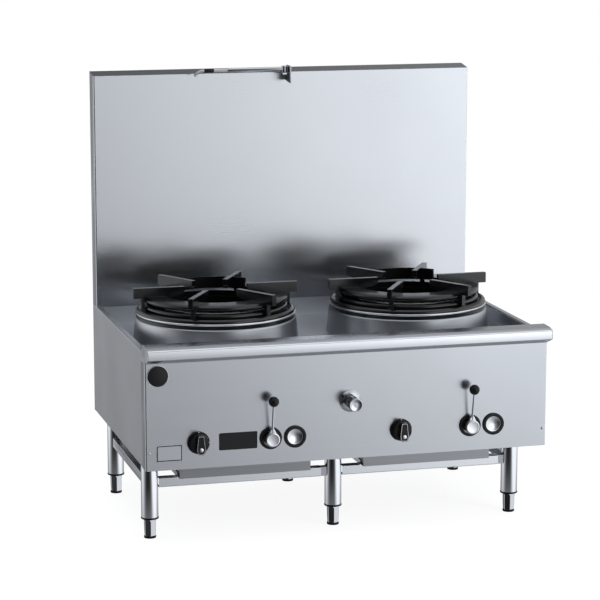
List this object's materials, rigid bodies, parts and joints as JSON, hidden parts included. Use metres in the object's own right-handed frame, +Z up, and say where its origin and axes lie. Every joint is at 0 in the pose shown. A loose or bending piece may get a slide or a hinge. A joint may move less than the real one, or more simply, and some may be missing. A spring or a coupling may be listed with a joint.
{
  "type": "stock pot steamer",
  "caption": "Free-standing stainless steel gas range with low ring burners, star trivets, a tall splashback, swing water arm, valve controls, drip trays and adjustable round legs.",
  "frame": {"origin": "middle of the footprint, on the floor under the feet", "axes": "+X to the right seen from the front, +Y to the back, +Z up"},
  "size_m": [1.2, 0.864, 1.32],
  "materials": {
    "brushed_steel": "brushed satin",
    "dull_steel": "dull mill finish",
    "polished_steel": "polished",
    "chrome": "polished",
    "cast_iron": "satin black",
    "burner_iron": "dark grey casting",
    "black_plastic": "semi-gloss black",
    "black_rubber": "matt black",
    "brass": "machined",
    "copper": "drawn copper tube",
    "dark_plate": "dark blank plate"
  },
  "bodies": {
    "range_body": {"left_side_panel": "brushed_steel", "right_side_panel": "brushed_steel", "front_panel": "brushed_steel", "front_rail": "brushed_steel", "deck_pan": "brushed_steel", "rear_panel": "dull_steel", "splashback_skin": "brushed_steel", "splashback_back": "dull_steel", "splashback_frame": "dull_steel", "leg_frame": "dull_steel", "left_collar": "polished_steel", "right_collar": "polished_steel", "burner_heads": "burner_iron", "burner_bearers": "dull_steel", "mixer_tubes": "burner_iron", "injectors": "brass", "pilot_burners": "copper", "gas_manifold": "dull_steel", "gas_valves": "brass", "lever_valves": "brass", "knob_bezels": "black_plastic", "round_bezels": "black_plastic", "sight_covers": "polished_steel", "tap_flange": "chrome", "tap_valve": "brass", "water_pipes": "copper", "faucet_bracket": "chrome", "legs": "polished_steel", "leg_plugs": "black_rubber", "leg_rails": "brushed_steel", "rail_brackets": "dull_steel", "tray_runners": "brushed_steel", "blank_plates": "dark_plate", "panel_screws": "dull_steel"},
    "left_control": {"left_knob": "black_plastic", "left_spindle": "dull_steel"},
    "right_control": {"right_knob": "black_plastic", "right_spindle": "dull_steel"},
    "left_lever_handle": {"left_lever": "polished_steel", "left_lever_ball": "black_plastic"},
    "right_lever_handle": {"right_lever": "polished_steel", "right_lever_ball": "black_plastic"},
    "tap": {"tap_handle": "chrome"},
    "water_arm": {"swing_arm": "chrome", "arm_grip": "black_plastic"},
    "left_rings": {"left_burner_ring": "cast_iron", "left_riser_ring": "cast_iron"},
    "right_rings": {"right_burner_ring": "cast_iron", "right_riser_ring": "cast_iron"},
    "left_pot_stand": {"left_trivet": "cast_iron"},
    "right_pot_stand": {"right_trivet": "cast_iron"},
    "left_tray": {"left_drip_tray": "brushed_steel"},
    "right_tray": {"right_drip_tray": "brushed_steel"},
    "front_left_leg_foot": {"front_left_foot": "chrome"},
    "front_middle_leg_foot": {"front_middle_foot": "chrome"},
    "front_right_leg_foot": {"front_right_foot": "chrome"},
    "rear_left_leg_foot": {"rear_left_foot": "chrome"},
    "rear_middle_leg_foot": {"rear_middle_foot": "chrome"},
    "rear_right_leg_foot": {"rear_right_foot": "chrome"}
  },
  "joints": [
    {"name": "left_knob_turn", "type": "hinge", "parent": "range_body", "child": "left_control", "pos_m": [-0.447, -0.372, 0.319], "axis": [0, 1, 0], "range_deg": [0, 90]},
    {"name": "left_lever_turn", "type": "hinge", "parent": "range_body", "child": "left_lever_handle", "pos_m": [-0.236, -0.372, 0.319], "axis": [0, -1, 0], "range_deg": [0, 90]},
    {"name": "left_ring_lift", "type": "slide", "parent": "range_body", "child": "left_rings", "axis": [0, 0, 1], "range_m": [0, 0.12]},
    {"name": "left_trivet_lift", "type": "slide", "parent": "left_rings", "child": "left_pot_stand", "axis": [0, 0, 1], "range_m": [0, 0.15]},
    {"name": "left_tray_slide", "type": "slide", "parent": "range_body", "child": "left_tray", "axis": [0, -1, 0], "range_m": [0, 0.4]},
    {"name": "right_knob_turn", "type": "hinge", "parent": "range_body", "child": "right_control", "pos_m": [0.153, -0.372, 0.319], "axis": [0, 1, 0], "range_deg": [0, 90]},
    {"name": "right_lever_turn", "type": "hinge", "parent": "range_body", "child": "right_lever_handle", "pos_m": [0.364, -0.372, 0.319], "axis": [0, -1, 0], "range_deg": [0, 90]},
    {"name": "right_ring_lift", "type": "slide", "parent": "range_body", "child": "right_rings", "axis": [0, 0, 1], "range_m": [0, 0.12]},
    {"name": "right_trivet_lift", "type": "slide", "parent": "right_rings", "child": "right_pot_stand", "axis": [0, 0, 1], "range_m": [0, 0.15]},
    {"name": "right_tray_slide", "type": "slide", "parent": "range_body", "child": "right_tray", "axis": [0, -1, 0], "range_m": [0, 0.4]},
    {"name": "tap_turn", "type": "hinge", "parent": "range_body", "child": "tap", "pos_m": [0, -0.372, 0.414], "axis": [0, -1, 0], "range_deg": [0, 360]},
    {"name": "water_arm_swing", "type": "hinge", "parent": "range_body", "child": "water_arm", "pos_m": [-0.01, 0.328, 1.308], "axis": [0, 0, 1], "range_deg": [0, 90]},
    {"name": "front_left_foot_screw", "type": "slide", "parent": "range_body", "child": "front_left_leg_foot", "axis": [0, 0, 1], "range_m": [-0.025, 0]},
    {"name": "front_middle_foot_screw", "type": "slide", "parent": "range_body", "child": "front_middle_leg_foot", "axis": [0, 0, 1], "range_m": [-0.025, 0]},
    {"name": "front_right_foot_screw", "type": "slide", "parent": "range_body", "child": "front_right_leg_foot", "axis": [0, 0, 1], "range_m": [-0.025, 0]},
    {"name": "rear_left_foot_screw", "type": "slide", "parent": "range_body", "child": "rear_left_leg_foot", "axis": [0, 0, 1], "range_m": [-0.025, 0]},
    {"name": "rear_middle_foot_screw", "type": "slide", "parent": "range_body", "child": "rear_middle_leg_foot", "axis": [0, 0, 1], "range_m": [-0.025, 0]},
    {"name": "rear_right_foot_screw", "type": "slide", "parent": "range_body", "child": "rear_right_leg_foot", "axis": [0, 0, 1], "range_m": [-0.025, 0]}
  ]
}
